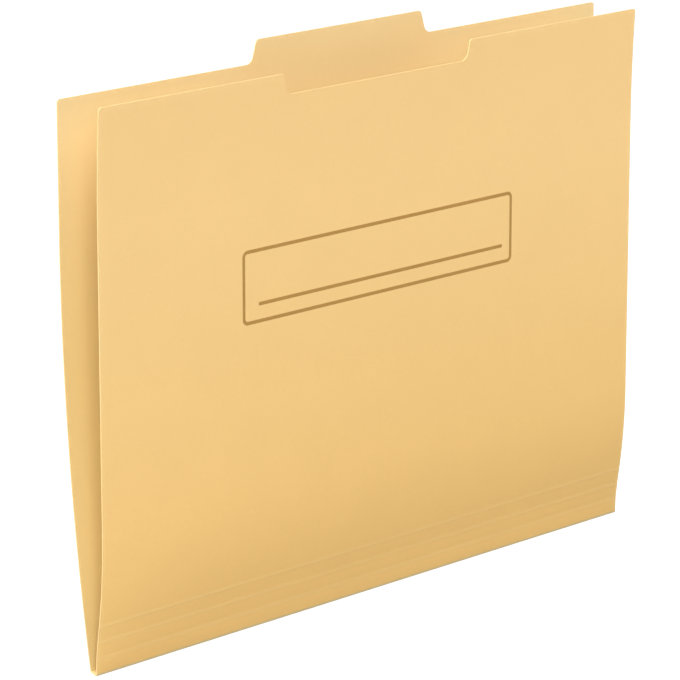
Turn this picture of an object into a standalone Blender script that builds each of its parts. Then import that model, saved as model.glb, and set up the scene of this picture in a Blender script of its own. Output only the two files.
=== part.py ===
"""Tabbed card file folder, standing slightly open on its fold.

Real size in metres, +Z up. X runs along the fold, the front cover faces -Y and the back cover +Y.
The folder is one sheet of die-cut card. Its creases divide it into fields, and each field is modelled
as a solid of its own: the side section of the bent card is drawn once as a line, every field is a
length of that section given the card's thickness and drawn out along the fold, and the two covers
are then trimmed by a flat die, just as the press cuts the sheet.
"""

import math

import bpy
from mathutils import Vector

MM = 0.001

# Driving dimensions: the sheet and its covers
FOLDER_WIDTH = 320 * MM
COVER_HEIGHT = 236 * MM
CARD_THICKNESS = 0.45 * MM
COVER_CORNER_RADIUS = 1.5 * MM

# Driving dimensions: the spine and the score lines above it on the front
SPINE_WIDTH = 3.7 * MM
SPINE_SLOPE = math.radians(19)
SCORE_PITCH = 7.2 * MM
STRIP_LEANS = (math.radians(-0.6), math.radians(9.0), math.radians(8.3))
CREASE_GAP = 0.3 * MM

# Driving dimensions: the gentle bows of the standing covers
BACK_DEPTH = 18.1 * MM
BACK_BOW_HEIGHT = 183 * MM
FRONT_BOW_HEIGHT = 61 * MM
FRONT_CURL = 1.6 * MM
FRONT_CURL_HEIGHT = 50 * MM
BOW_STEPS = 14

# Driving dimensions: the index tab on the back cover
TAB_CENTRE = -1.5 * MM
TAB_BASE_WIDTH = 104 * MM
TAB_TOP_WIDTH = 98 * MM
TAB_HEIGHT = 10 * MM
TAB_TOP_RADIUS = 2 * MM
TAB_BASE_RADIUS = 4 * MM

# Driving dimensions: the shallow recess in the front cover's top edge
RECESS_CENTRE = -3 * MM
RECESS_TOP_WIDTH = 111 * MM
RECESS_BASE_WIDTH = 108 * MM
RECESS_DEPTH = 9 * MM
RECESS_TOP_RADIUS = 1.5 * MM
RECESS_BASE_RADIUS = 4 * MM
ARC_STEP = math.radians(12)

# Room that the trimming dies and the untrimmed card keep beyond the finished outline
TRIM = 10 * MM

CARD_COLOUR = (0.87, 0.60, 0.26, 1.0)
CARD_ROUGHNESS = 0.82


def clear_scene():
    """Empty the scene, so the script gives the same result wherever it is run."""
    for obj in list(bpy.data.objects):
        bpy.data.objects.remove(obj, do_unlink=True)


def new_collection(name):
    """Make a collection and link it to the scene."""
    collection = bpy.data.collections.new(name)
    bpy.context.scene.collection.children.link(collection)
    return collection


def card_material(name):
    """Uncoated, matt card in the warm yellow of manila."""
    material = bpy.data.materials.new(name)
    material.use_nodes = True
    shader = material.node_tree.nodes["Principled BSDF"]
    shader.inputs["Base Color"].default_value = CARD_COLOUR
    shader.inputs["Roughness"].default_value = CARD_ROUGHNESS
    shader.inputs["Metallic"].default_value = 0.0
    material.diffuse_color = CARD_COLOUR
    return material


# The section of the bent card is worked out in a plane of (depth, height), as 2-D vectors,
# with the main fold at (0, 0).

def polar(length, angle):
    """A step of the given length, at an angle measured from +Y towards +Z."""
    return Vector((length * math.cos(angle), length * math.sin(angle)))


def section_points():
    """Centre lines of the six fields, from the back cover's top round the fold to the front's top."""
    fold = Vector((0.0, 0.0))
    spine_end = polar(SPINE_WIDTH, SPINE_SLOPE)

    # The back cover stands upright down to its bow, then follows a parabola to the spine
    bow_drop = BACK_DEPTH - spine_end.x
    bow_run = BACK_BOW_HEIGHT - spine_end.y
    back = [Vector((BACK_DEPTH, COVER_HEIGHT + TAB_HEIGHT + TRIM))]
    for step in range(BOW_STEPS + 1):
        share = step / BOW_STEPS
        back.append(Vector((BACK_DEPTH - bow_drop * share ** 2, BACK_BOW_HEIGHT - bow_run * share)))

    # Narrow strips between the score lines lead the front away from the fold
    strips = []
    corner = fold
    for lean in STRIP_LEANS:
        top = corner + polar(SCORE_PITCH, math.pi / 2 + lean)
        strips.append([corner, top])
        corner = top

    # The front cover carries the last strip's lean on and comes upright at the end of its bow
    bow_run = FRONT_BOW_HEIGHT - corner.y
    bow_drop = math.tan(STRIP_LEANS[-1]) * bow_run / 2
    front = []
    for step in range(BOW_STEPS + 1):
        share = step / BOW_STEPS
        front.append(Vector((corner.x - bow_drop * (1 - (1 - share) ** 2), corner.y + bow_run * share)))

    # Its top curls a little outwards
    curl_base = Vector((front[-1].x, COVER_HEIGHT - FRONT_CURL_HEIGHT))
    trimmed_share = (FRONT_CURL_HEIGHT + TRIM) / FRONT_CURL_HEIGHT
    for step in range(BOW_STEPS + 1):
        share = trimmed_share * step / BOW_STEPS
        front.append(curl_base + Vector((-FRONT_CURL * share ** 2, FRONT_CURL_HEIGHT * share)))

    return {
        "back_panel": back,
        "spine_strip": [spine_end, fold],
        "score_strip_1": strips[0],
        "score_strip_2": strips[1],
        "score_strip_3": strips[2],
        "front_panel": front,
    }


def outward(direction):
    """The normal on the folder's outer face, for a direction that runs from back to front."""
    return Vector((-direction.y, direction.x))


def mitre(before, after):
    """Unit line of the mitre between two directions, pointing to the outer face."""
    return (outward(before) + outward(after)).normalized()


def end_points(corner, normal, into, line):
    """A field's two corners at its end, on the inner and on the outer face.

    At a crease both faces stop half the gap short of the mitre line; a free end is cut square.
    """
    half = CARD_THICKNESS / 2
    if line is None:
        return corner - normal * half, corner + normal * half
    away = Vector((line.y, -line.x))
    if away.dot(into) < 0:
        away = -away
    found = []
    for offset in (-half, half):
        along = (CREASE_GAP / 2 - offset * normal.dot(away)) / into.dot(away)
        found.append(corner + normal * offset + into * along)
    return found


def field_outline(points, before, after):
    """Closed outline of one field's section, given the directions of the fields it is creased to."""
    half = CARD_THICKNESS / 2
    steps = [(b - a).normalized() for a, b in zip(points, points[1:])]
    first_line = mitre(before, steps[0]) if before else None
    last_line = mitre(steps[-1], after) if after else None

    inner_start, outer_start = end_points(points[0], outward(steps[0]), steps[0], first_line)
    inner_end, outer_end = end_points(points[-1], outward(steps[-1]), -steps[-1], last_line)
    inner = [inner_start]
    outer = [outer_start]
    for point, step_in, step_out in zip(points[1:], steps, steps[1:]):
        line = mitre(step_in, step_out)
        reach = half / line.dot(outward(step_in))
        inner.append(point - line * reach)
        outer.append(point + line * reach)
    inner.append(inner_end)
    outer.append(outer_end)
    return outer + inner[::-1]


def crease_axis(corner, before, after):
    """Where a crease turns: its corner on the outer face."""
    line = mitre(before, after)
    return corner + line * (CARD_THICKNESS / 2) / line.dot(outward(before))


def prism(name, outline, depth, collection, across_width):
    """Draw a closed flat outline out to both sides of its plane, as one solid.

    A section stands in the YZ plane and is drawn out along the width; a die stands in the XZ plane.
    """
    curve = bpy.data.curves.new(name, "CURVE")
    curve.dimensions = "2D"
    curve.fill_mode = "BOTH"
    curve.extrude = depth / 2
    spline = curve.splines.new("POLY")
    spline.points.add(len(outline) - 1)
    for point, (u, v) in zip(spline.points, outline):
        point.co = (u, v, 0.0, 1.0)
    spline.use_cyclic_u = True

    drawn = bpy.data.objects.new(name + "_outline", curve)
    collection.objects.link(drawn)
    drawn.rotation_euler = (math.pi / 2, 0.0, math.pi / 2 if across_width else 0.0)
    bpy.context.view_layer.update()
    mesh = bpy.data.meshes.new_from_object(drawn)
    mesh.transform(drawn.matrix_world)
    mesh.name = name
    bpy.data.objects.remove(drawn, do_unlink=True)
    bpy.data.curves.remove(curve)

    solid = bpy.data.objects.new(name, mesh)
    collection.objects.link(solid)
    weld = solid.modifiers.new("Join the caps", "WELD")
    weld.merge_threshold = 0.00001
    return solid


def rounded(corners):
    """Outline through corners given as (x, z, radius), each rounded by an arc tangent to both sides."""
    outline = []
    count = len(corners)
    for index, (x, z, radius) in enumerate(corners):
        corner = Vector((x, z))
        to_last = (Vector(corners[index - 1][:2]) - corner).normalized()
        to_next = (Vector(corners[(index + 1) % count][:2]) - corner).normalized()
        if radius == 0:
            outline.append(corner)
            continue
        half_angle = to_last.angle(to_next) / 2
        centre = corner + (to_last + to_next).normalized() * radius / math.sin(half_angle)
        start = corner + to_last * radius / math.tan(half_angle) - centre
        turn = math.pi - 2 * half_angle
        if to_last.x * to_next.y - to_last.y * to_next.x > 0:
            turn = -turn
        steps = max(2, math.ceil(abs(turn) / ARC_STEP))
        for step in range(steps + 1):
            angle = turn * step / steps
            outline.append(centre + Vector((
                start.x * math.cos(angle) - start.y * math.sin(angle),
                start.x * math.sin(angle) + start.y * math.cos(angle))))
    return outline


def back_die():
    """Outline of the back cover: a rectangle with the tapered index tab on its top edge."""
    side = FOLDER_WIDTH / 2
    tab_top = COVER_HEIGHT + TAB_HEIGHT
    base = TAB_BASE_WIDTH / 2
    top = TAB_TOP_WIDTH / 2
    return rounded([
        (-side, -TRIM, 0),
        (side, -TRIM, 0),
        (side, COVER_HEIGHT, COVER_CORNER_RADIUS),
        (TAB_CENTRE + base, COVER_HEIGHT, TAB_BASE_RADIUS),
        (TAB_CENTRE + top, tab_top, TAB_TOP_RADIUS),
        (TAB_CENTRE - top, tab_top, TAB_TOP_RADIUS),
        (TAB_CENTRE - base, COVER_HEIGHT, TAB_BASE_RADIUS),
        (-side, COVER_HEIGHT, COVER_CORNER_RADIUS),
    ])


def front_die():
    """Outline of the front cover: a rectangle with the shallow recess in its top edge."""
    side = FOLDER_WIDTH / 2
    floor = COVER_HEIGHT - RECESS_DEPTH
    top = RECESS_TOP_WIDTH / 2
    base = RECESS_BASE_WIDTH / 2
    return rounded([
        (-side, -TRIM, 0),
        (side, -TRIM, 0),
        (side, COVER_HEIGHT, COVER_CORNER_RADIUS),
        (RECESS_CENTRE + top, COVER_HEIGHT, RECESS_TOP_RADIUS),
        (RECESS_CENTRE + base, floor, RECESS_BASE_RADIUS),
        (RECESS_CENTRE - base, floor, RECESS_BASE_RADIUS),
        (RECESS_CENTRE - top, COVER_HEIGHT, RECESS_TOP_RADIUS),
        (-side, COVER_HEIGHT, COVER_CORNER_RADIUS),
    ])


def die_cut(cover, outline, cutters):
    """Keep only what lies inside the die."""
    depth = 2 * (BACK_DEPTH + TRIM)
    die = prism(cover.name + "_die", outline, 2 * depth, cutters, across_width=False)
    die.hide_render = True
    die.display_type = "WIRE"
    cut = cover.modifiers.new("Die cut", "BOOLEAN")
    cut.operation = "INTERSECT"
    cut.solver = "EXACT"
    cut.object = die


def set_origin(obj, place):
    """Move an object's origin without moving its surface."""
    for vertex in obj.data.vertices:
        vertex.co -= place
    obj.location = place


def build():
    clear_scene()
    parts = new_collection("file_folder")
    cutters = new_collection("cutters")

    sections = section_points()
    names = list(sections)
    first_steps = {n: (p[1] - p[0]).normalized() for n, p in sections.items()}
    last_steps = {n: (p[-1] - p[-2]).normalized() for n, p in sections.items()}

    # Work out every field's outline, then the datum: mid-depth of the folder, on the ground
    outlines = {}
    for index, name in enumerate(names):
        before = last_steps[names[index - 1]] if index > 0 else None
        after = first_steps[names[index + 1]] if index + 1 < len(names) else None
        outlines[name] = field_outline(sections[name], before, after)
    curl_at_edge = sections["front_panel"][BOW_STEPS].x - FRONT_CURL
    ground = min(point.y for outline in outlines.values() for point in outline)
    front_edge = curl_at_edge - CARD_THICKNESS / 2
    back_edge = BACK_DEPTH + CARD_THICKNESS / 2
    datum = Vector(((front_edge + back_edge) / 2, ground))

    # One solid for each field of card
    fields = {}
    for name in names:
        outline = [point - datum for point in outlines[name]]
        trimmed = name in ("back_panel", "front_panel")
        width = FOLDER_WIDTH + 2 * TRIM if trimmed else FOLDER_WIDTH
        field = prism(name, outline, width, parts, across_width=True)
        field.data.materials.append(card_material(name + "_card"))
        fields[name] = field
    lift = datum.y
    die_cut(fields["back_panel"], [(x, z - lift) for x, z in back_die()], cutters)
    die_cut(fields["front_panel"], [(x, z - lift) for x, z in front_die()], cutters)

    # A crease between each pair of neighbours carries the rest of the sheet. All of them bend
    # outwards and turn about the outer face, so the two edges at a crease never meet.
    creases = {
        "spine_crease": ("back_panel", "spine_strip"),
        "main_fold": ("spine_strip", "score_strip_1"),
        "score_1": ("score_strip_1", "score_strip_2"),
        "score_2": ("score_strip_2", "score_strip_3"),
        "score_3": ("score_strip_3", "front_panel"),
    }
    parent_place = Vector((0.0, 0.0, 0.0))
    for name, (parent, child) in creases.items():
        corner = sections[child][0]
        turn = crease_axis(corner, last_steps[parent], first_steps[child]) - datum
        place = Vector((0.0, turn.x, turn.y))
        axis = bpy.data.objects.new(name + "_axis", None)
        axis.empty_display_size = SCORE_PITCH
        parts.objects.link(axis)
        axis.parent = fields[parent]
        axis.location = place - parent_place
        set_origin(fields[child], place)
        fields[child].parent = axis
        fields[child].location = (0.0, 0.0, 0.0)
        parent_place = place
        print(f"{name}: y {place.y:.6f} z {place.z:.6f}")
    print(f"back face y {BACK_DEPTH + CARD_THICKNESS / 2 - datum.x:.6f}, lift {lift:.6f}")


build()
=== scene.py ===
# %% [markdown]
# # A tabbed card file folder
#
# The real thing is one sheet of manila card. A press cuts its outline, with an index tab on the back
# cover and a shallow recess in the front cover, and presses its creases. The sheet is then folded
# along the bottom. It stands slightly open, so the covers bow a little.
#
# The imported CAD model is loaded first. It says where every field of card is and what moves with
# what. The pieces made here follow the same section, only finer: bows without facets, folds with a
# bend radius, score lines pressed into the card, rounded cut edges and printing.

# %% Load the frame
import math

import bpy
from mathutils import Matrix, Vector


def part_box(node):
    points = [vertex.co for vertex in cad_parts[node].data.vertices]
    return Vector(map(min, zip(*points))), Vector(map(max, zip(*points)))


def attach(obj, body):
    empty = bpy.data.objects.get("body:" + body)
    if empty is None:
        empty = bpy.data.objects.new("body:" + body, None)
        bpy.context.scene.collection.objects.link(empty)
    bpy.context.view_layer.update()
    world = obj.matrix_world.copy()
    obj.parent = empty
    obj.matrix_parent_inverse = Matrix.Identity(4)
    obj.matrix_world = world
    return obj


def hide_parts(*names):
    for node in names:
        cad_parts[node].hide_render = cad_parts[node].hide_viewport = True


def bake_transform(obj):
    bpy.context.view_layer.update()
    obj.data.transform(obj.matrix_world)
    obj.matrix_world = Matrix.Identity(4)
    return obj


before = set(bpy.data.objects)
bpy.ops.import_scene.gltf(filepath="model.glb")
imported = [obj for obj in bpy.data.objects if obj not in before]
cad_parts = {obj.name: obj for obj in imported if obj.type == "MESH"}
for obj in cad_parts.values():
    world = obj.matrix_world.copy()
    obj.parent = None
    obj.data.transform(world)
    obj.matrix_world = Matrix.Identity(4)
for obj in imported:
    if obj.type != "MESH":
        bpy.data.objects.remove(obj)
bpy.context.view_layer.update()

MM = 0.001

# %% [markdown]
# ## The sheet's sizes
#
# The sheet could be measured off the CAD model point by point. It is clearer to state its few sizes
# again and to draw the same section from them. The back cover's upper part is flat and the tab's top
# is level, so these two faces of the CAD model tell where the section lies.
#
# The strips' leans are finer than the CAD model's: the first score line stands 0.3 mm further out,
# which lets the three strips catch the light evenly.

# %% State the sizes of the sheet
CARD = 0.45 * MM
WIDTH = 320 * MM
HEIGHT = 236 * MM
COVER_CORNER = 1.5 * MM
TAB_RISE = 10 * MM
SPARE = 4 * MM  # grown above the top edges, for the die to cut off

SPINE_WIDTH = 3.7 * MM
SPINE_SLOPE = math.radians(19)
SCORE_PITCH = 7.2 * MM
STRIP_LEANS = [math.radians(lean) for lean in (1.8, 6.4, 8.3)]

BACK_DEPTH = 18.1 * MM
BACK_BOW_TOP = 183 * MM
FRONT_BOW_TOP = 61 * MM
CURL = 1.6 * MM
CURL_RUN = 50 * MM

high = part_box("back_panel")[1]
DATUM = Vector((BACK_DEPTH + CARD / 2 - high.y, HEIGHT + TAB_RISE - high.z))
print(f"the section starts {DATUM.x / MM:.3f} mm in and {-DATUM.y / MM:.3f} mm up")

# %% [markdown]
# ## The section of the bent card
#
# Seen from its end, the sheet is a single line: down the back cover, round the fold and up the front
# cover. Where the card bends sharply, a small arc takes the corner's place, because card never folds
# to a knife edge. At a score line the press leaves a low bead on the outer face and a groove on the
# inner face, so there the line swells outwards by a few hundredths of a millimetre and comes back.
#
# Each crease lies in the middle of a narrow band of its own, which carries the crease's bend, while
# the fields on its two sides stay stiff. A band reaches a little way from its crease to either side,
# and a line is drawn with a number of rows that its bend needs.

# %% Draw the bands that bend
FOLD_RADIUS = 0.42 * MM
FOLD_REACH = 1.1 * MM
SCORE_REACH = 1.4 * MM
BEAD_RISE = 0.05 * MM
BEAD_HALF = 1.0 * MM
ARC_ROWS = 9
BEAD_ROWS = 14


def step(length, angle):
    """A step of the given length, at an angle measured from +Y towards +Z."""
    return Vector((length * math.cos(angle), length * math.sin(angle)))


def arc_corner(before, corner, after, radius, reach):
    """The band round a corner: straight, round an arc and straight again, as a list of points."""
    arriving = (corner - before).normalized()
    leaving = (after - corner).normalized()
    turn = arriving.angle(leaving)
    tangent = radius * math.tan(turn / 2)
    sense = -1 if arriving.x * leaving.y - arriving.y * leaving.x < 0 else 1
    centre = corner - arriving * tangent + Vector((-arriving.y, arriving.x)) * sense * radius
    spoke = corner - arriving * tangent - centre
    points = [corner - arriving * reach]
    for row in range(ARC_ROWS + 1):
        angle = sense * turn * row / ARC_ROWS
        points.append(centre + Vector((
            spoke.x * math.cos(angle) - spoke.y * math.sin(angle),
            spoke.x * math.sin(angle) + spoke.y * math.cos(angle))))
    points.append(corner + leaving * reach)
    return points


def beaded(before, corner, after):
    """The band along a score line: its line swells to the outer face and comes back."""
    arriving = (corner - before).normalized()
    leaving = (after - corner).normalized()
    across = arriving + leaving
    outward = Vector((-across.y, across.x)).normalized()
    points = [corner - arriving * SCORE_REACH]
    for row in range(BEAD_ROWS + 1):
        offset = BEAD_HALF * (2 * row / BEAD_ROWS - 1)
        base = corner + (arriving if offset < 0 else leaving) * offset
        swell = math.cos(math.pi / 2 * offset / BEAD_HALF) ** 2
        points.append(base + outward * BEAD_RISE * swell)
    points.append(corner + leaving * SCORE_REACH)
    return points


def trimmed(points, head=0.0, tail=0.0):
    """The same line with a length taken off its first and its last step."""
    line = [point.copy() for point in points]
    line[0] += (points[1] - points[0]).normalized() * head
    line[-1] -= (points[-1] - points[-2]).normalized() * tail
    return line


# %% [markdown]
# The line is drawn from the main fold, its lowest point. The spine runs from there to the back cover,
# and three strips climb to the front cover, each with a lean of its own. Above them both covers bow.
# A parabola does for a bow: it runs into the straight card above it without a kink. Near its top the
# front cover curls outwards a little.

# %% Place the creases and bow the covers
BACK_ROWS = 44
FRONT_ROWS = 24

spine_end = step(SPINE_WIDTH, SPINE_SLOPE)
scores = [Vector((0.0, 0.0))]
for lean in STRIP_LEANS:
    scores.append(scores[-1] + step(SCORE_PITCH, math.pi / 2 + lean))
fold, score_1, score_2, score_3 = scores
print("creases in mm:", [[round(v / MM, 2) for v in crease] for crease in (spine_end, *scores)])

back = [Vector((BACK_DEPTH, HEIGHT + TAB_RISE + SPARE))]
for row in range(BACK_ROWS + 1):
    share = row / BACK_ROWS
    back.append(Vector((BACK_DEPTH - (BACK_DEPTH - spine_end.x) * share ** 2,
                        BACK_BOW_TOP - (BACK_BOW_TOP - spine_end.y) * share)))

bow_run = FRONT_BOW_TOP - score_3.y
bow_in = math.tan(STRIP_LEANS[-1]) * bow_run / 2
front = []
for row in range(FRONT_ROWS + 1):
    share = row / FRONT_ROWS
    inward = bow_in * (1 - (1 - share) ** 2)
    front.append(Vector((score_3.x - inward, score_3.y + bow_run * share)))
curl_base = Vector((front[-1].x, HEIGHT - CURL_RUN))
for row in range(FRONT_ROWS + 1):
    share = (1 + SPARE / CURL_RUN) * row / FRONT_ROWS
    front.append(curl_base + Vector((-CURL * share ** 2, CURL_RUN * share)))

# %% Divide the line into pieces
section = {
    "back_cover": trimmed(back, tail=FOLD_REACH),
    "spine_bend": arc_corner(back[-2], spine_end, fold, FOLD_RADIUS, FOLD_REACH),
    "spine_band": trimmed([spine_end, fold], FOLD_REACH, FOLD_REACH),
    "fold_bend": arc_corner(spine_end, fold, score_1, FOLD_RADIUS, FOLD_REACH),
    "strip_1": trimmed([fold, score_1], FOLD_REACH, SCORE_REACH),
    "score_line_1": beaded(fold, score_1, score_2),
    "strip_2": trimmed([score_1, score_2], SCORE_REACH, SCORE_REACH),
    "score_line_2": beaded(score_1, score_2, score_3),
    "strip_3": trimmed([score_2, score_3], SCORE_REACH, SCORE_REACH),
    "score_line_3": beaded(score_2, score_3, front[1]),
    "front_cover": trimmed(front, head=SCORE_REACH),
}
section = {name: [point - DATUM for point in line] for name, line in section.items()}
print("rows in each piece:", {name: len(line) for name, line in section.items()})

# %% [markdown]
# ## Helpers for modelling by hand
#
# An operator works on what is selected, so before each one the right vertices, edges or faces are
# picked by their place. These helpers do the picking, apply modifiers and move a piece's place, turn
# and size into its mesh.

# %% Pick, modify and finish
def only(piece):
    """Make a piece the one selected and active object."""
    bpy.ops.object.select_all(action="DESELECT")
    piece.select_set(True)
    bpy.context.view_layer.objects.active = piece


def pick(piece, kind, wanted):
    """Enter edit mode with just the wanted vertices, edges or faces selected; say how many."""
    only(piece)
    bpy.ops.object.mode_set(mode="EDIT")
    bpy.ops.mesh.select_mode(type=kind)
    bpy.ops.mesh.select_all(action="DESELECT")
    bpy.ops.object.mode_set(mode="OBJECT")
    mesh = piece.data
    places = [vertex.co for vertex in mesh.vertices]
    if kind == "VERT":
        for vertex in mesh.vertices:
            vertex.select = wanted(vertex.co)
        count = sum(vertex.select for vertex in mesh.vertices)
    elif kind == "EDGE":
        for edge in mesh.edges:
            edge.select = wanted(*(places[index] for index in edge.vertices))
        count = sum(edge.select for edge in mesh.edges)
    else:
        for face in mesh.polygons:
            face.select = wanted(face.center, face.normal)
        count = sum(face.select for face in mesh.polygons)
    bpy.ops.object.mode_set(mode="EDIT")
    return count


def close_edit():
    """Go back to object mode, which writes the edits to the mesh."""
    bpy.ops.object.mode_set(mode="OBJECT")


def modify(piece, kind, **settings):
    """Put a modifier on a piece and apply it."""
    only(piece)
    modifier = piece.modifiers.new(kind.title(), kind)
    for name, value in settings.items():
        setattr(modifier, name, value)
    bpy.ops.object.modifier_apply(modifier=modifier.name)


def settle(piece):
    """Move an object's place, turn and size into its mesh."""
    only(piece)
    bpy.ops.object.transform_apply(location=True, rotation=True, scale=True)


# %% [markdown]
# ## Growing a sheet along the section
#
# A flat plane could be bent with a modifier, but then its bow would only come near the section. Here
# a first strip is laid on the section's first step, and its leading edge is extruded from point to
# point. Solidify then gives the line the card's thickness, half to either side.

# %% Grow a sheet
TIP = 0.1  # share of the first step within which a vertex counts as its end


def grow_sheet(name, line):
    """Card of the folder's full width that follows a line of points in the side view."""
    stride = line[1] - line[0]
    middle = (line[0] + line[1]) / 2
    bpy.ops.object.select_all(action="DESELECT")
    bpy.ops.mesh.primitive_plane_add(
        size=1, location=(0, middle.x, middle.y), rotation=(math.atan2(stride.y, stride.x), 0, 0))
    piece = bpy.context.object
    piece.name = piece.data.name = name
    piece.scale = (WIDTH, stride.length, 1)
    settle(piece)
    tip = Vector((0, line[1].x, line[1].y))
    pick(piece, "VERT", lambda place: (place - tip).yz.length < stride.length * TIP)
    for last, following in zip(line[1:], line[2:]):
        move = following - last
        bpy.ops.mesh.extrude_region_move(TRANSFORM_OT_translate={"value": (0, move.x, move.y)})
    close_edit()
    modify(piece, "SOLIDIFY", thickness=CARD, offset=0, use_even_offset=True)
    pick(piece, "FACE", lambda centre, normal: True)
    bpy.ops.mesh.normals_make_consistent(inside=False)
    close_edit()
    return piece


# %% [markdown]
# ## Cutting a cover's outline
#
# The press cuts the outline with a steel die. The same is done here: a block gets towers extruded
# from its top, its upright corners are bevelled to their radii, and Boolean keeps the card inside it.
# Drawing every outline point by hand would give the same edge, but a die is quicker to change.

# %% Cut with a die
ARC_STEP = math.radians(7)
FEWEST_STEPS = 2
DIE_DEPTH = 80 * MM  # below the fold and across the covers, so it takes in the whole bow
LOOKS_UP = 0.9  # least height of a normal that points up
SAME_SIDE = 1 * MM
SAME_CORNER = 0.02 * MM


def corner_arc(corners, index):
    """How far a corner's arc reaches along its sides, and in how many steps it goes round."""
    x, z, radius = corners[index]
    before = Vector(corners[index - 1][:2]) - Vector((x, z))
    after = Vector(corners[(index + 1) % len(corners)][:2]) - Vector((x, z))
    turn = math.pi - before.angle(after)
    return radius * math.tan(turn / 2), max(FEWEST_STEPS, math.ceil(turn / ARC_STEP))


def cut_outline(cover, ledge, towers, rise, corners):
    """Keep the card that lies inside a die.

    The die is a block up to the ledge, with towers on it. A tower's two sides are given as pairs of
    x at its foot and x at its top, and a corner as x, z and its radius.
    """
    bpy.ops.object.select_all(action="DESELECT")
    bpy.ops.mesh.primitive_cube_add(size=1, location=(0, 0, (ledge - DIE_DEPTH) / 2))
    die = bpy.context.object
    die.name = "cutting_die"
    die.scale = (WIDTH, DIE_DEPTH, ledge + DIE_DEPTH)
    settle(die)
    for x in sorted({foot for tower in towers for foot, top in tower if abs(foot) < WIDTH / 2}):
        pick(die, "FACE", lambda centre, normal: True)
        bpy.ops.mesh.bisect(plane_co=(x, 0, 0), plane_no=(1, 0, 0))
        close_edit()
    for (left, left_top), (right, right_top) in towers:
        pick(die, "FACE", lambda centre, normal: normal.z > LOOKS_UP and left < centre.x < right)
        bpy.ops.mesh.extrude_region_move(TRANSFORM_OT_translate={"value": (0, 0, rise)})
        close_edit()
        for foot, top in ((left, left_top), (right, right_top)):
            pick(die, "VERT", lambda place:
                 place.z > ledge + rise / 2 and abs(place.x - foot) < SAME_SIDE)
            bpy.ops.transform.translate(value=(top - foot, 0, 0))
            close_edit()
    for index, (x, z, radius) in enumerate(corners):
        if not radius:
            continue
        reach, steps = corner_arc(corners, index)
        corner = Vector((x, z))
        found = pick(die, "EDGE", lambda *ends:
                     all((end.xz - corner).length < SAME_CORNER for end in ends))
        bpy.ops.mesh.bevel(offset=reach, segments=steps, affect="EDGES", clamp_overlap=False)
        close_edit()
        where = f"x {x / MM:.1f} z {z / MM:.1f}"
        print(f"  corner at {where}: {found} edge rounded to {radius / MM:g} mm")
    modify(cover, "BOOLEAN", operation="INTERSECT", solver="EXACT", object=die)
    bpy.data.objects.remove(die, do_unlink=True)


# %% [markdown]
# A press doesn't leave the edge of card razor sharp. Every cut edge is blunted by a small bevel,
# which catches a thin line of light. The edges at a crease stay as they are, so that neighbours meet.

# %% Blunt the cut edges
BLUNTING = 0.07 * MM
SHARP = math.radians(40)
SMOOTH = math.radians(20)


def round_cut_edges(piece, line):
    """Blunt the edges that the press cut, but not the two where the piece meets its neighbours."""
    ends = [Vector((0, point.x, point.y)) for point in (line[0], line[-1])]

    def at_a_joint(place):
        return any((place - end).yz.length < CARD for end in ends)

    only(piece)
    bpy.ops.object.mode_set(mode="EDIT")
    bpy.ops.mesh.select_mode(type="EDGE")
    bpy.ops.mesh.select_all(action="DESELECT")
    bpy.ops.mesh.edges_select_sharp(sharpness=SHARP)
    bpy.ops.object.mode_set(mode="OBJECT")
    places = [vertex.co for vertex in piece.data.vertices]
    for edge in piece.data.edges:
        if edge.select and all(at_a_joint(places[index]) for index in edge.vertices):
            edge.select = False
    bpy.ops.object.mode_set(mode="EDIT")
    bpy.ops.mesh.bevel(offset=BLUNTING, segments=2, affect="EDGES", clamp_overlap=True)
    close_edit()
    only(piece)
    bpy.ops.object.shade_smooth_by_angle(angle=SMOOTH)


# %% [markdown]
# ## The eleven lengths of card
#
# The back cover carries the index tab, the front cover has the recess. Both are grown a little too
# high and cut by their die. The rest are narrow and need no die: three strips between the score
# lines, the spine, and the five bands that bend. Tab and recess sit a little to the left of the
# folder's middle.

# %% Make the back cover with its index tab
side = WIDTH / 2
shoulder = HEIGHT - DATUM.y
INNER_CORNER = 4 * MM
TAB_CORNER = 2 * MM
TAB_CENTRE = -1.5 * MM
TAB_FOOT = 52 * MM
TAB_TOP = 49 * MM
foot_left, foot_right = TAB_CENTRE - TAB_FOOT, TAB_CENTRE + TAB_FOOT
tab_left, tab_right = TAB_CENTRE - TAB_TOP, TAB_CENTRE + TAB_TOP

pieces = {}
back_cover = grow_sheet("back_cover", section["back_cover"])
cut_outline(
    back_cover, shoulder, rise=TAB_RISE,
    towers=[((foot_left, tab_left), (foot_right, tab_right))],
    corners=[
        (-side, 0, 0),
        (-side, shoulder, COVER_CORNER),
        (foot_left, shoulder, INNER_CORNER),
        (tab_left, shoulder + TAB_RISE, TAB_CORNER),
        (tab_right, shoulder + TAB_RISE, TAB_CORNER),
        (foot_right, shoulder, INNER_CORNER),
        (side, shoulder, COVER_CORNER),
        (side, 0, 0)])
pieces["back_cover"] = back_cover
print("back cover:", len(back_cover.data.polygons), "faces")

# %% Make the front cover with its recess
RECESS_CENTRE = -3 * MM
RECESS_TOP = 55.5 * MM
RECESS_FLOOR = 54 * MM
RECESS_DEPTH = 9 * MM
floor_left, floor_right = RECESS_CENTRE - RECESS_FLOOR, RECESS_CENTRE + RECESS_FLOOR
rim_left, rim_right = RECESS_CENTRE - RECESS_TOP, RECESS_CENTRE + RECESS_TOP

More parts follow.
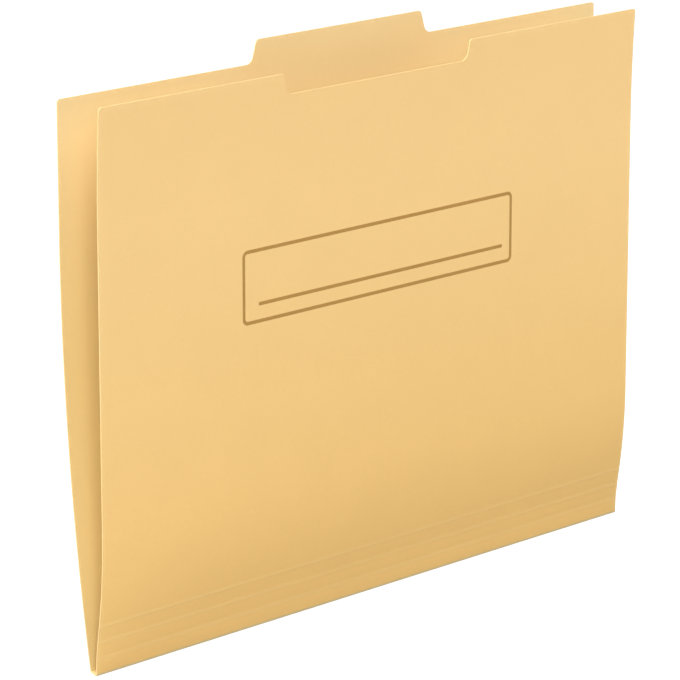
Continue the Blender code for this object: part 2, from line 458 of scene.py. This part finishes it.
front_cover = grow_sheet("front_cover", section["front_cover"])
cut_outline(
    front_cover, shoulder - RECESS_DEPTH, rise=RECESS_DEPTH,
    towers=[((-side, -side), (floor_left, rim_left)), ((floor_right, rim_right), (side, side))],
    corners=[
        (-side, 0, 0),
        (-side, shoulder, COVER_CORNER),
        (rim_left, shoulder, COVER_CORNER),
        (floor_left, shoulder - RECESS_DEPTH, INNER_CORNER),
        (floor_right, shoulder - RECESS_DEPTH, INNER_CORNER),
        (rim_right, shoulder, COVER_CORNER),
        (side, shoulder, COVER_CORNER),
        (side, 0, 0)])
pieces["front_cover"] = front_cover
print("front cover:", len(front_cover.data.polygons), "faces")

# %% Make the strips and the bands
for name, line in section.items():
    if name not in pieces:
        pieces[name] = grow_sheet(name, line)
for name, piece in pieces.items():
    round_cut_edges(piece, section[name])
print("faces:", {name: len(piece.data.polygons) for name, piece in pieces.items()})

# %% [markdown]
# ## The printed writing field
#
# A thin brown frame with a ruled line inside it is printed on the front cover. Ink lies on the card
# as a film. The frame starts as a plane, gets its corners bevelled and its inside inset and removed,
# and Solidify makes it a film a few hundredths of a millimetre thick, half sunk in the card.

# %% Print the frame and the ruled line
INK = 0.04 * MM
LINE = 1.5 * MM
FRAME_HALF = 81.5 * MM
FRAME_LOW = 133.6 * MM
FRAME_HIGH = 165.2 * MM
FRAME_CORNER = 2.8 * MM
RULE_LEFT = -72.3 * MM
RULE_RIGHT = 75.3 * MM
RULE_HEIGHT = 141.6 * MM
CORNER_STEPS = 6
print_y = section["front_cover"][FRONT_ROWS].x - CARD / 2


def printed_plane(name, left, right, bottom, top, corner):
    """A flat rectangle on the front cover's outer face, with rounded corners."""
    bpy.ops.object.select_all(action="DESELECT")
    bpy.ops.mesh.primitive_plane_add(
        size=1, location=((left + right) / 2, print_y, (bottom + top) / 2),
        rotation=(math.pi / 2, 0, 0))
    film = bpy.context.object
    film.name = film.data.name = name
    film.scale = (right - left, top - bottom, 1)
    settle(film)
    pick(film, "VERT", lambda place: True)
    bpy.ops.mesh.bevel(offset=corner, segments=CORNER_STEPS, affect="VERTICES")
    close_edit()
    return film


printed_frame = printed_plane(
    "printed_frame", -FRAME_HALF, FRAME_HALF, FRAME_LOW, FRAME_HIGH, FRAME_CORNER)
pick(printed_frame, "FACE", lambda centre, normal: True)
bpy.ops.mesh.inset(thickness=LINE)
bpy.ops.mesh.delete(type="FACE")
close_edit()
printed_rule = printed_plane(
    "printed_rule", RULE_LEFT, RULE_RIGHT,
    RULE_HEIGHT - LINE / 2, RULE_HEIGHT + LINE / 2, LINE / 4)
for film in (printed_frame, printed_rule):
    modify(film, "SOLIDIFY", thickness=INK, offset=0)
    print(film.name, "has", len(film.data.polygons), "faces")

# %% [markdown]
# ## Writing shader maths as sums
#
# A material is a graph of nodes. Placed one by one they are hard to read, so a socket is wrapped in a
# small class that knows plus, minus, times and absolute value: an expression on such values adds its
# own Math nodes. A plain number may stand on either side, so that 1 - mask works too. Every other
# node comes from one method.

# %% Wrap a socket
class Value:
    """A socket of a shader that can stand in an expression."""

    def __init__(self, graph, socket):
        self.graph = graph
        self.socket = socket

    def math(self, operation, first, second):
        """A Math node on two values or numbers."""
        return self.graph.node("ShaderNodeMath", {"operation": operation}, {0: first, 1: second})

    def __add__(self, other):
        return self.math("ADD", self, other)

    def __radd__(self, other):
        return self.math("ADD", other, self)

    def __sub__(self, other):
        return self.math("SUBTRACT", self, other)

    def __rsub__(self, other):
        return self.math("SUBTRACT", other, self)

    def __mul__(self, other):
        return self.math("MULTIPLY", self, other)

    def __rmul__(self, other):
        return self.math("MULTIPLY", other, self)

    def __abs__(self):
        return self.math("ABSOLUTE", self, 0.0)

    def ramp(self, start, end):
        """0 below start, 1 above end and a smooth rise between; start may lie above end."""
        return self.graph.node(
            "ShaderNodeMapRange", {"interpolation_type": "SMOOTHSTEP"},
            {"Value": self, "From Min": start, "From Max": end})


# %% [markdown]
# A material's nodes and the world's are built in the same way, so one class serves both. A finish is
# such a graph round the material's own shader. Plain values go straight onto the shader's sockets.

# %% Wrap the nodes of a world or a material
class Graph:
    """The nodes of a material or of the world."""

    def __init__(self, owner):
        owner.use_nodes = True
        self.tree = owner.node_tree

    def set(self, socket, value):
        """Link a value to a socket, or write a plain number or colour on it."""
        if isinstance(value, Value):
            self.tree.links.new(value.socket, socket)
        else:
            socket.default_value = value

    def node(self, kind, settings=None, inputs=None, output=0):
        """Add a node: its settings first, then the values or links of its sockets."""
        node = self.tree.nodes.new(kind)
        for name, value in (settings or {}).items():
            setattr(node, name, value)
        for name, value in (inputs or {}).items():
            self.set(node.inputs[name], value)
        return Value(self, node.outputs[output])

    def seen(self):
        """1 for what the camera sees directly, in a reflection or through glass, else 0."""
        ray = self.node("ShaderNodeLightPath", output="Is Camera Ray")
        light_path = ray.socket.node
        for name in ("Is Glossy Ray", "Is Transmission Ray"):
            ray = ray.math("MAXIMUM", ray, Value(self, light_path.outputs[name]))
        return ray


class Finish(Graph):
    """A material in the making."""

    def __init__(self, name, **constants):
        self.material = bpy.data.materials.new(name)
        super().__init__(self.material)
        self.shader = self.tree.nodes["Principled BSDF"]
        for socket, value in constants.items():
            self.shader.inputs[socket.replace("_", " ")].default_value = value

    def mix(self, factor, first, second):
        """Blend two colours; on a Mix node they are sockets 6 and 7, and the result is output 2."""
        return self.node(
            "ShaderNodeMix", {"data_type": "RGBA"}, {0: factor, 6: first, 7: second}, output=2)

    def noise(self, place, scale, detail=3.0, roughness=0.55, distortion=0.0):
        """Cloudy noise from 0 to 1, with as many blotches to the metre as scale says."""
        return self.node("ShaderNodeTexNoise", {}, {
            "Vector": place, "Scale": scale, "Detail": detail,
            "Roughness": roughness, "Distortion": distortion})

    def stretched(self, place, turn, scale):
        """Object coordinates turned in the cover's plane and squeezed, for threads of fibre."""
        return self.node("ShaderNodeMapping", {"vector_type": "TEXTURE"}, {
            "Vector": place, "Rotation": (0.0, turn, 0.0), "Scale": scale})

    def use(self, **sockets):
        """Feed the shader's sockets, and give the finished material."""
        for name, value in sockets.items():
            self.set(self.shader.inputs[name.replace("_", " ")], value)
        return self.material


# %% [markdown]
# A colour is easiest to judge as it looks on the screen, but shaders calculate in amounts of light.
# One helper turns the first into the second.

# %% State a colour as it looks
def srgb(red, green, blue):
    """A colour as it looks on screen, 0 to 255, turned into the linear values that shaders take."""
    def linear(channel):
        channel /= 255
        return channel / 12.92 if channel <= 0.04045 else ((channel + 0.055) / 1.055) ** 2.4
    return (linear(red), linear(green), linear(blue), 1.0)


# %% [markdown]
# ## Manila card
#
# Manila is a warm yellow, uncoated card. Close up it is a mat of fibres: the colour is cloudy over
# centimetres, mottled over millimetres and full of short pale and dark threads, with a few brown
# specks of bark. The inside is given paler tones than the outside. The outside's tone turns deeper
# low down and darker still near the fold, and the inside darkens deep between the covers: all painted
# shade. The inside's upper part is paler, painted light where light comes in between the covers, and
# the tab with the card below it is painted in the outside's deeper tone, as shade. The outer edges
# are rubbed pale, and so is the card that the press has squeezed along a score line. The surface has
# a fine tooth, so it shines hardly at all.
#
# A picture of card would be the quick way, but it repeats and blurs. Noise in Object coordinates has
# the same grain at every distance and runs on from one piece to the next without a seam. Its scales
# are in blotches to the metre.

# %% Choose the card's tones and marks
# The outside's lower tone is deeper: painted shade for the card's darker look low down.
OUTSIDE = (srgb(234, 196, 131), srgb(236, 193, 117))  # high up, low down
# The inside's upper tone is paler: painted light where light comes in between the covers.
INSIDE = (srgb(225, 199, 146), srgb(227, 199, 136))
OUTSIDE_FADE = (190 * MM, 0.0)  # heights between which the upper tone turns into the lower
INSIDE_FADE = (236 * MM, 120 * MM)
OUTSIDE_FOLD_SHADE = (13 * MM, 0.06)  # the height below which the card is darkened, and by what share: painted shade towards the fold
# The inside darkens further down: painted shade between the covers.
INSIDE_POCKET_SHADE = (60 * MM, 0.13)

THREAD = srgb(246, 218, 160)
BARK = srgb(176, 126, 62)
RUBBED = srgb(244, 216, 158)
RUB_WIDTH = 2.6 * MM
RUB_END = 0.2 * MM

CLOUDS = 34.0
MOTTLING = 520.0
GRAIN = 2300.0
THREADS = 1500.0
STRANDS = 1250.0
SPECKS = 420.0
SPECK_SORTS = 180.0

PRESS_REACH = (1.4 * MM, 0.2 * MM)  # distances from a crease where the paling begins and is full
TAB_REACH = (56 * MM, 50 * MM)  # the same from the tab's middle, for its raised edge
TAB_SHADE_REACH = (64 * MM, 50 * MM)  # and for the card with painted shade round the tab
TAB_SHADE_LOW = (200 * MM, 224 * MM)  # heights where a first and a second share of it come in
TAB_SHADE_HIGH = (226 * MM, 240 * MM)

PALE_THREADS_SHOW = 0.16
DARK_THREADS_SHOW = 0.07
SPECKS_SHOW = 0.16
PRESSING_SHOWS = 0.12
RUBBING_SHOWS = 0.22
TAB_SHADE_SHOWS = 0.2


# %% Mix the card
def card_finish(name, tones, fade, low_shade, creases=()):
    """A face of the card; the press has paled it along the creases, which are given by height."""
    finish = Finish(name, Specular_IOR_Level=0.28, Sheen_Weight=0.06, Sheen_Roughness=0.6)
    place = finish.node("ShaderNodeTexCoord", output="Object")
    across = finish.node("ShaderNodeSeparateXYZ", {}, {0: place})
    height = Value(finish, across.socket.node.outputs["Z"])

    cloud = finish.noise(place, CLOUDS, 3.0)
    mottle = finish.noise(place, MOTTLING, 4.0, 0.65)
    grain = finish.noise(place, GRAIN, 2.0, 0.6)
    threads = finish.noise(finish.stretched(place, 0.35, (5.5, 1.0, 0.7)), THREADS, 2.0, 0.5, 0.6)
    strands = finish.noise(finish.stretched(place, -0.9, (4.5, 1.0, 0.6)), STRANDS, 2.0, 0.5, 0.8)
    pale_thread = threads.ramp(0.62, 0.78)
    dark_thread = strands.ramp(0.36, 0.22)
    speck_size = finish.node(
        "ShaderNodeTexVoronoi", {"feature": "F1"}, {"Vector": place, "Scale": SPECKS})
    speck_kind = finish.noise(place, SPECK_SORTS, 1.0)
    speck = speck_size.ramp(0.16, 0.07) * speck_kind.ramp(0.60, 0.68)

    from_tab = abs(across - TAB_CENTRE)
    side_rub = abs(across).ramp(side - RUB_WIDTH, side - RUB_END)
    top_rub = height - from_tab.ramp(*TAB_REACH) * TAB_RISE
    top_rub = top_rub.ramp(shoulder - RUB_WIDTH, shoulder - RUB_END)
    rub = (side_rub + top_rub) * mottle.ramp(0.25, 0.75)
    pressed = sum(abs(height - crease).ramp(*PRESS_REACH) for crease in creases)
    # Painted shade: the tab and the card below it take the outside's deeper upper tone.
    tab_painted_shade = from_tab.ramp(*TAB_SHADE_REACH) * (height.ramp(*TAB_SHADE_LOW) + height.ramp(*TAB_SHADE_HIGH))
    low_shade_height, low_shade_share = low_shade

    # The tone turns with height: the outside's deeper lower tone is painted shade, the inside's paler
    # upper tone is painted light.
    colour = finish.mix(height.ramp(*fade), *tones)
    colour = finish.mix(tab_painted_shade * TAB_SHADE_SHOWS, colour, OUTSIDE[0])
    colour = finish.mix(pale_thread * PALE_THREADS_SHOW + pressed * PRESSING_SHOWS, colour, THREAD)
    colour = finish.mix(dark_thread * DARK_THREADS_SHOW + speck * SPECKS_SHOW, colour, BARK)
    colour = finish.mix(rub * RUBBING_SHOWS, colour, RUBBED)
    shade = 0.955 + cloud * 0.045 + mottle * 0.035 + grain * 0.02
    # Painted shade: below a given height the card is darkened, towards the fold outside and deep
    # between the covers inside.
    shade = shade - height.ramp(low_shade_height, 0.0) * low_shade_share
    colour = finish.node(
        "ShaderNodeVectorMath", {"operation": "SCALE"}, {0: colour, "Scale": shade})

    tooth = grain * 0.5 + mottle * 0.6 + pale_thread * 0.5 - dark_thread * 0.4
    normal = finish.node("ShaderNodeBump", {}, {
        "Strength": 0.55, "Distance": 0.02 * MM, "Height": tooth})
    roughness = 0.80 + mottle * 0.12 - rub * 0.06 - pale_thread * 0.05
    return finish.use(Base_Color=colour, Roughness=roughness, Normal=normal)


outside = card_finish("outer_card", OUTSIDE, OUTSIDE_FADE, OUTSIDE_FOLD_SHADE, [
    point.y - DATUM.y for point in (score_1, score_2, score_3)])
inside = card_finish("inner_card", INSIDE, INSIDE_FADE, INSIDE_POCKET_SHADE)
print("mixed", outside.name, "and", inside.name)

# %% [markdown]
# ## Cut edges
#
# Where the press cut the sheet, the edge shows the middle of the card: layers of torn fibre. They run
# along the edge, so the noise is squeezed across the thickness.

# %% Mix the cut edge
CUT_TONES = (srgb(211, 175, 114), srgb(228, 200, 146))
LAYERS = 1400.0
TUFTS = 3200.0


def cut_finish(name):
    """The edge of the card, in layers."""
    finish = Finish(name, Specular_IOR_Level=0.2)
    place = finish.node("ShaderNodeTexCoord", output="Object")
    layers = finish.noise(finish.stretched(place, 0.0, (3.0, 0.12, 3.0)), LAYERS, 3.0, 0.6)
    tufts = finish.noise(place, TUFTS, 2.0, 0.6)
    colour = finish.mix(layers * 0.7 + tufts * 0.3, *CUT_TONES)
    normal = finish.node("ShaderNodeBump", {}, {
        "Strength": 0.6, "Distance": 0.03 * MM, "Height": layers + tufts * 0.6})
    return finish.use(Base_Color=colour, Roughness=0.86 + tufts * 0.1, Normal=normal)


cut_edge = cut_finish("cut_card_edge")
print("mixed", cut_edge.name)

# %% [markdown]
# Each piece gets the three finishes, and each of its faces the one that suits the way it looks. A cut
# face looks sideways. Near the top edges it can look upwards too, but lower down only the rounded
# faces of the fold do that, and they are card.

# %% Give each face its finish
OUTER, INNER, CUT = range(3)
TOP_PART = 200 * MM
ASKEW = 0.3  # how far a normal leans out of the folder's depth on a cut face


def is_cut(centre, normal):
    """Whether the press cut a face."""
    return math.hypot(normal.x, normal.z if centre.z > TOP_PART else 0.0) > ASKEW


for name, piece in pieces.items():
    for material in (outside, inside, cut_edge):
        piece.data.materials.append(material)
    in_front = name.startswith(("strip", "score_line", "front"))
    for face in piece.data.polygons:
        into_pocket = face.normal.y > 0 if in_front else face.normal.y < 0
        uncut = INNER if into_pocket else OUTER
        face.material_index = CUT if is_cut(face.center, face.normal) else uncut
    print(name, "faces outside, inside and cut:", [
        sum(face.material_index == slot for face in piece.data.polygons)
        for slot in (OUTER, INNER, CUT)])

# %% [markdown]
# ## Printing ink
#
# The lines are printed in a thin brown that lets the card through. Its coverage breaks up a little on
# the tooth of the card, and it is slightly smoother than the card.

# %% Mix the ink
INK_TONES = (srgb(166, 123, 54), srgb(222, 182, 112))  # covering, letting the card through
GAPS = 1900.0
WASH = 120.0


def ink_finish(name):
    """A thin film of ink that breaks up on the card's tooth."""
    finish = Finish(name, Specular_IOR_Level=0.35)
    place = finish.node("ShaderNodeTexCoord", output="Object")
    gaps = finish.noise(place, GAPS, 3.0, 0.65)
    wash = finish.noise(place, WASH, 2.0)
    colour = finish.mix(gaps.ramp(0.52, 0.78) * 0.45 + wash * 0.12, *INK_TONES)
    normal = finish.node("ShaderNodeBump", {}, {
        "Strength": 0.4, "Distance": 0.015 * MM, "Height": gaps})
    return finish.use(Base_Color=colour, Roughness=0.62 + gaps * 0.2, Normal=normal)


ink = ink_finish("brown_ink")
for film in (printed_frame, printed_rule):
    film.data.materials.append(ink)
print("mixed", ink.name)

# %% [markdown]
# ## Letting the folder open
#
# Every stiff field moves with its own body, and the printed lines move with the front cover. The
# bands
# round the creases hang on no body: their place is only moved into their mesh, so they stay where
# they are drawn.

# %% Hang the pieces on the bodies
stiff = {
    "back_cover": "back_panel",
    "spine_band": "spine_strip",
    "strip_1": "score_strip_1",
    "strip_2": "score_strip_2",
    "strip_3": "score_strip_3",
    "front_cover": "front_panel",
}
bending = {
    "spine_bend": ("back_panel", "spine_strip"),
    "fold_bend": ("spine_strip", "score_strip_1"),
    "score_line_1": ("score_strip_1", "score_strip_2"),
    "score_line_2": ("score_strip_2", "score_strip_3"),
    "score_line_3": ("score_strip_3", "front_panel"),
}
for name, body in stiff.items():
    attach(pieces[name], body)
    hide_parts(body)
for name, (body, next_body) in bending.items():
    line = section[name]
    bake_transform(pieces[name])
for film in (printed_frame, printed_rule):
    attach(film, "front_panel")
print(len(stiff), "stiff pieces and", len(bending), "bending bands")

# %% [markdown]
# ## Floor, lights and camera
#
# The folder is shown on white. The floor and the world look white to the camera, yet give the card
# only a little light. To the lamps the floor is a mid grey, so the card's lower part turns darker, as
# it does in the studio. What the camera sees of the floor is mostly its own glow, with a share of
# plain grey that the folder's shadow can darken.

# %% Set the floor
FLOOR_SIZE = 6
FLOOR_GREY = (0.42, 0.42, 0.42, 1)
SHADOW_GREY = (0.16, 0.16, 0.16, 1)
GLOW = 0.92
WHITE = (1, 1, 1, 1)

bpy.ops.object.select_all(action="DESELECT")
bpy.ops.mesh.primitive_plane_add(size=FLOOR_SIZE, location=(0, 0, 0))
floor = bpy.context.object
floor.name = floor.data.name = "studio_floor"
white = Finish("white_floor", Roughness=0.9, Specular_IOR_Level=0.0, Base_Color=FLOOR_GREY)
lit = Value(white, white.shader.outputs[0])
glow = white.node("ShaderNodeEmission", {}, {"Color": WHITE, "Strength": GLOW})
plain = white.node("ShaderNodeBsdfDiffuse", {}, {"Color": SHADOW_GREY})
shown = white.node("ShaderNodeAddShader", {}, {0: glow, 1: plain})
surface = white.node("ShaderNodeMixShader", {}, {0: white.seen(), 1: lit, 2: shown})
white.set(white.tree.nodes["Material Output"].inputs["Surface"], surface)
floor.data.materials.append(white.material)
print("set", floor.name, "with", white.material.name)

# %% [markdown]
# Two large soft lamps stand over the camera, one low and one high, and a third lights the card from
# the left. Two small ones lift the right edge. A strong one behind on the left lights the back cover
# and puts light between the covers. To find their strengths, the folder was rendered under each lamp
# alone, and the shares were worked out that give the card the photograph's run from light to dark.

# %% Light the studio
LAMP_AIM = Vector((0, 0, 120 * MM))
DOME = 0.08
DOME_COLOUR = (1.0, 0.99, 0.97, 1)
LAMPS = {  # turn from the front in degrees, height in degrees, distance and size in metres, watts
    "low_front_lamp": (-45, 25, 2.6, 1.2, 14.8),
    "high_front_lamp": (-45, 50, 2.6, 1.2, 42.4),
    "left_lamp": (-80, 20, 2.6, 1.2, 25),
    "near_right_lamp": (78, 20, 1.3, 0.8, 9.2),
    "high_right_lamp": (45, 45, 1.1, 0.6, 2.5),
    "rear_left_lamp": (-135, 50, 2.6, 1.2, 85),
}

world = bpy.data.worlds.new("studio_world")
bpy.context.scene.world = world
sky = Graph(world)
soft = sky.node("ShaderNodeBackground", {}, {"Color": DOME_COLOUR, "Strength": DOME})
backdrop = sky.node("ShaderNodeBackground", {}, {"Color": WHITE, "Strength": 1.0})
surface = sky.node("ShaderNodeMixShader", {}, {0: sky.seen(), 1: soft, 2: backdrop})
sky.set(sky.tree.nodes["World Output"].inputs["Surface"], surface)

for name, (azimuth, elevation, distance, size, watts) in LAMPS.items():
    lamp = bpy.data.lights.new(name, "AREA")
    lamp.shape = "SQUARE"
    lamp.size = size
    lamp.energy = watts
    holder = bpy.data.objects.new(name, lamp)
    bpy.context.scene.collection.objects.link(holder)
    turn, rise = math.radians(azimuth), math.radians(elevation)
    level = Vector((math.sin(turn), -math.cos(turn), 0)) * math.cos(rise)
    ray = level + Vector((0, 0, math.sin(rise)))
    holder.location = LAMP_AIM + ray * distance
    holder.rotation_euler = ray.to_track_quat("Z", "Y").to_euler()
print("lit by", ", ".join(LAMPS))

# %% [markdown]
# The photograph was taken from the left, a little above the folder, with a long lens. Solving its
# perspective for the folder's corners gives the camera's place, aim and focal length.

# %% Place the camera
SENSOR_WIDTH = 36
LENS = 209.75
CAMERA_PLACE = Vector((-1.1697, -1.1508, 0.5391))
CAMERA_AIM = Vector((-0.0198, -0.0058, 0.1156))

view = bpy.data.cameras.new("camera")
view.sensor_width = SENSOR_WIDTH
view.lens = LENS
camera = bpy.data.objects.new("camera", view)
bpy.context.scene.collection.objects.link(camera)
camera.location = CAMERA_PLACE
camera.rotation_euler = (CAMERA_AIM - CAMERA_PLACE).to_track_quat("-Z", "Y").to_euler()
bpy.context.scene.camera = camera
bpy.context.scene.view_settings.view_transform = "Standard"
print(f"camera {(CAMERA_AIM - CAMERA_PLACE).length:.2f} m from what it looks at")
